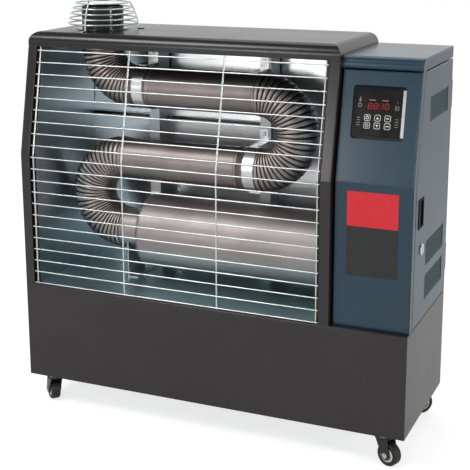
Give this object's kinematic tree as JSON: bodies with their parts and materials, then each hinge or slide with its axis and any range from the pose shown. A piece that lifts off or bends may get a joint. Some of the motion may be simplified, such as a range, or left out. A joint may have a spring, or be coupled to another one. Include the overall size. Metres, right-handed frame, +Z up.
{
  "type": "infrared diesel heater",
  "caption": "Upright infrared diesel heater on casters: radiant pipes behind a wire guard, burner cabinet with control panel and side door, fuel tank base and guarded flue outlet.",
  "frame": {"origin": "bottom centre of the bounding box, at floor level between the casters", "axes": "+X to the burner cabinet, the right end seen from the front; +Y to the back, so the guard faces -Y; +Z up"},
  "size_m": [0.903, 0.332, 0.9301],
  "materials": {
    "charcoal_coat": "fine-texture charcoal powder coat",
    "slate_coat": "fine-texture slate blue powder coat",
    "zinc_sheet": "zinc-coated sheet steel",
    "reflector_steel": "polished stainless sheet",
    "pipe_steel": "heat-toned stainless tube",
    "bellows_steel": "heat-toned corrugated stainless",
    "bright_steel": "bright stainless strip",
    "guard_chrome": "bright chrome-plated wire",
    "flue_black": "black heat-resistant coat",
    "tank_coat": "black coated steel",
    "black_plastic": "moulded black plastic",
    "bezel_gloss": "black glossy plastic",
    "fascia_film": "dark printed film",
    "key_film": "dark key with a light outline",
    "plate_enamel": "plain red and charcoal enamel",
    "screen_coat": "grey coated slotted sheet",
    "lock_chrome": "chrome-plated lock",
    "hinge_zinc": "zinc-plated steel",
    "burner_cast": "die-cast aluminium",
    "motor_coat": "black motor casing",
    "fan_steel": "zinc-plated pressed steel",
    "pump_body": "die-cast body",
    "fork_black": "black coated pressed steel",
    "caster_wheel": "black tread on a pale hub"
  },
  "bodies": {
    "heater": {"band_clamps": "bright_steel", "base_deck": "charcoal_coat", "base_floor_pan": "zinc_sheet", "base_shell": "charcoal_coat", "burner_housing": "burner_cast", "burner_motor": "motor_coat", "cabinet_front": "slate_coat", "cabinet_lid": "slate_coat", "cabinet_rear": "slate_coat", "cable_inlet": "black_plastic", "caster_plates": "hinge_zinc", "chamber_floor": "reflector_steel", "chamber_lid": "charcoal_coat", "combustion_drum": "pipe_steel", "control_bezel": "bezel_gloss", "control_fascia": "fascia_film", "flue_elbow": "bellows_steel", "flue_guard": "guard_chrome", "flue_stub": "flue_black", "front_plate": "plate_enamel", "fuel_pump": "pump_body", "fuel_tank": "tank_coat", "hinge_fixed_leaves": "hinge_zinc", "left_end_panel": "charcoal_coat", "left_liner": "reflector_steel", "lower_elbow": "bellows_steel", "lower_reflector": "reflector_steel", "middle_pipe": "pipe_steel", "pipe_brackets": "bright_steel", "pipe_supports": "bright_steel", "rear_panel": "zinc_sheet", "right_elbow": "bellows_steel", "right_liner": "reflector_steel", "right_partition": "charcoal_coat", "top_pipe": "pipe_steel", "upper_reflector": "reflector_steel", "wire_guard": "guard_chrome"},
    "side_door": {"side_door": "slate_coat", "door_pull": "black_plastic", "vent_screens": "screen_coat", "hinge_door_leaves": "hinge_zinc"},
    "door_lock": {"lock_barrel": "lock_chrome", "lock_cam": "lock_chrome"},
    "fuel_cap": {"fuel_cap": "black_plastic"},
    "blower_wheel": {"blower_wheel": "fan_steel"},
    "key_power": {"key_power": "key_film"},
    "key_up": {"key_up": "key_film"},
    "key_mode": {"key_mode": "key_film"},
    "key_timer": {"key_timer": "key_film"},
    "key_down": {"key_down": "key_film"},
    "key_set": {"key_set": "key_film"},
    "swivel_front_left": {"fork_front_left": "fork_black"},
    "wheel_front_left": {"wheel_front_left": "caster_wheel"},
    "swivel_front_right": {"fork_front_right": "fork_black"},
    "wheel_front_right": {"wheel_front_right": "caster_wheel"},
    "swivel_rear_left": {"fork_rear_left": "fork_black"},
    "wheel_rear_left": {"wheel_rear_left": "caster_wheel"},
    "swivel_rear_right": {"fork_rear_right": "fork_black"},
    "wheel_rear_right": {"wheel_rear_right": "caster_wheel"}
  },
  "joints": [
    {"name": "swivel_front_left", "type": "hinge", "parent": "heater", "child": "swivel_front_left", "pos_m": [-0.4035, -0.138, 0.07], "axis": [0, 0, 1], "continuous": true},
    {"name": "roll_front_left", "type": "hinge", "parent": "swivel_front_left", "child": "wheel_front_left", "pos_m": [-0.41316, -0.1293, 0.025], "axis": [-0.6691, -0.7431, 0], "continuous": true},
    {"name": "swivel_front_right", "type": "hinge", "parent": "heater", "child": "swivel_front_right", "pos_m": [0.4005, -0.138, 0.07], "axis": [0, 0, 1], "continuous": true},
    {"name": "roll_front_right", "type": "hinge", "parent": "swivel_front_right", "child": "wheel_front_right", "pos_m": [0.41247, -0.14308, 0.025], "axis": [0.3907, 0.9205, 0], "continuous": true},
    {"name": "swivel_rear_left", "type": "hinge", "parent": "heater", "child": "swivel_rear_left", "pos_m": [-0.4035, 0.126, 0.07], "axis": [0, 0, 1], "continuous": true},
    {"name": "roll_rear_left", "type": "hinge", "parent": "swivel_rear_left", "child": "wheel_rear_left", "pos_m": [-0.4096, 0.13748, 0.025], "axis": [-0.8829, -0.4695, 0], "continuous": true},
    {"name": "swivel_rear_right", "type": "hinge", "parent": "heater", "child": "swivel_rear_right", "pos_m": [0.4005, 0.126, 0.07], "axis": [0, 0, 1], "continuous": true},
    {"name": "roll_rear_right", "type": "hinge", "parent": "swivel_rear_right", "child": "wheel_rear_right", "pos_m": [0.41046, 0.13436, 0.025], "axis": [-0.6428, 0.766, 0], "continuous": true},
    {"name": "door_hinge", "type": "hinge", "parent": "heater", "child": "side_door", "pos_m": [0.4455, 0.1582, 0.558], "axis": [0, 0, 1], "range_deg": [0, 110]},
    {"name": "lock_turn", "type": "hinge", "parent": "side_door", "child": "door_lock", "pos_m": [0.4485, -0.077, 0.454], "axis": [-1, 0, 0], "range_deg": [0, 90]},
    {"name": "fuel_cap_turn", "type": "hinge", "parent": "heater", "child": "fuel_cap", "pos_m": [0.3665, -0.1, 0.34], "axis": [0, 0, 1], "range_deg": [0, 90]},
    {"name": "blower_spin", "type": "hinge", "parent": "heater", "child": "blower_wheel", "pos_m": [0.3505, -0.001, 0.405], "axis": [1, 0, 0], "continuous": true},
    {"name": "press_power", "type": "slide", "parent": "heater", "child": "key_power", "axis": [0, 0.9789, -0.2044], "range_m": [0, 0.0006], "stiffness_N_per_m": 400},
    {"name": "press_up", "type": "slide", "parent": "heater", "child": "key_up", "axis": [0, 0.9789, -0.2044], "range_m": [0, 0.0006], "stiffness_N_per_m": 400},
    {"name": "press_mode", "type": "slide", "parent": "heater", "child": "key_mode", "axis": [0, 0.9789, -0.2044], "range_m": [0, 0.0006], "stiffness_N_per_m": 400},
    {"name": "press_timer", "type": "slide", "parent": "heater", "child": "key_timer", "axis": [0, 0.9789, -0.2044], "range_m": [0, 0.0006], "stiffness_N_per_m": 400},
    {"name": "press_down", "type": "slide", "parent": "heater", "child": "key_down", "axis": [0, 0.9789, -0.2044], "range_m": [0, 0.0006], "stiffness_N_per_m": 400},
    {"name": "press_set", "type": "slide", "parent": "heater", "child": "key_set", "axis": [0, 0.9789, -0.2044], "range_m": [0, 0.0006], "stiffness_N_per_m": 400}
  ]
}
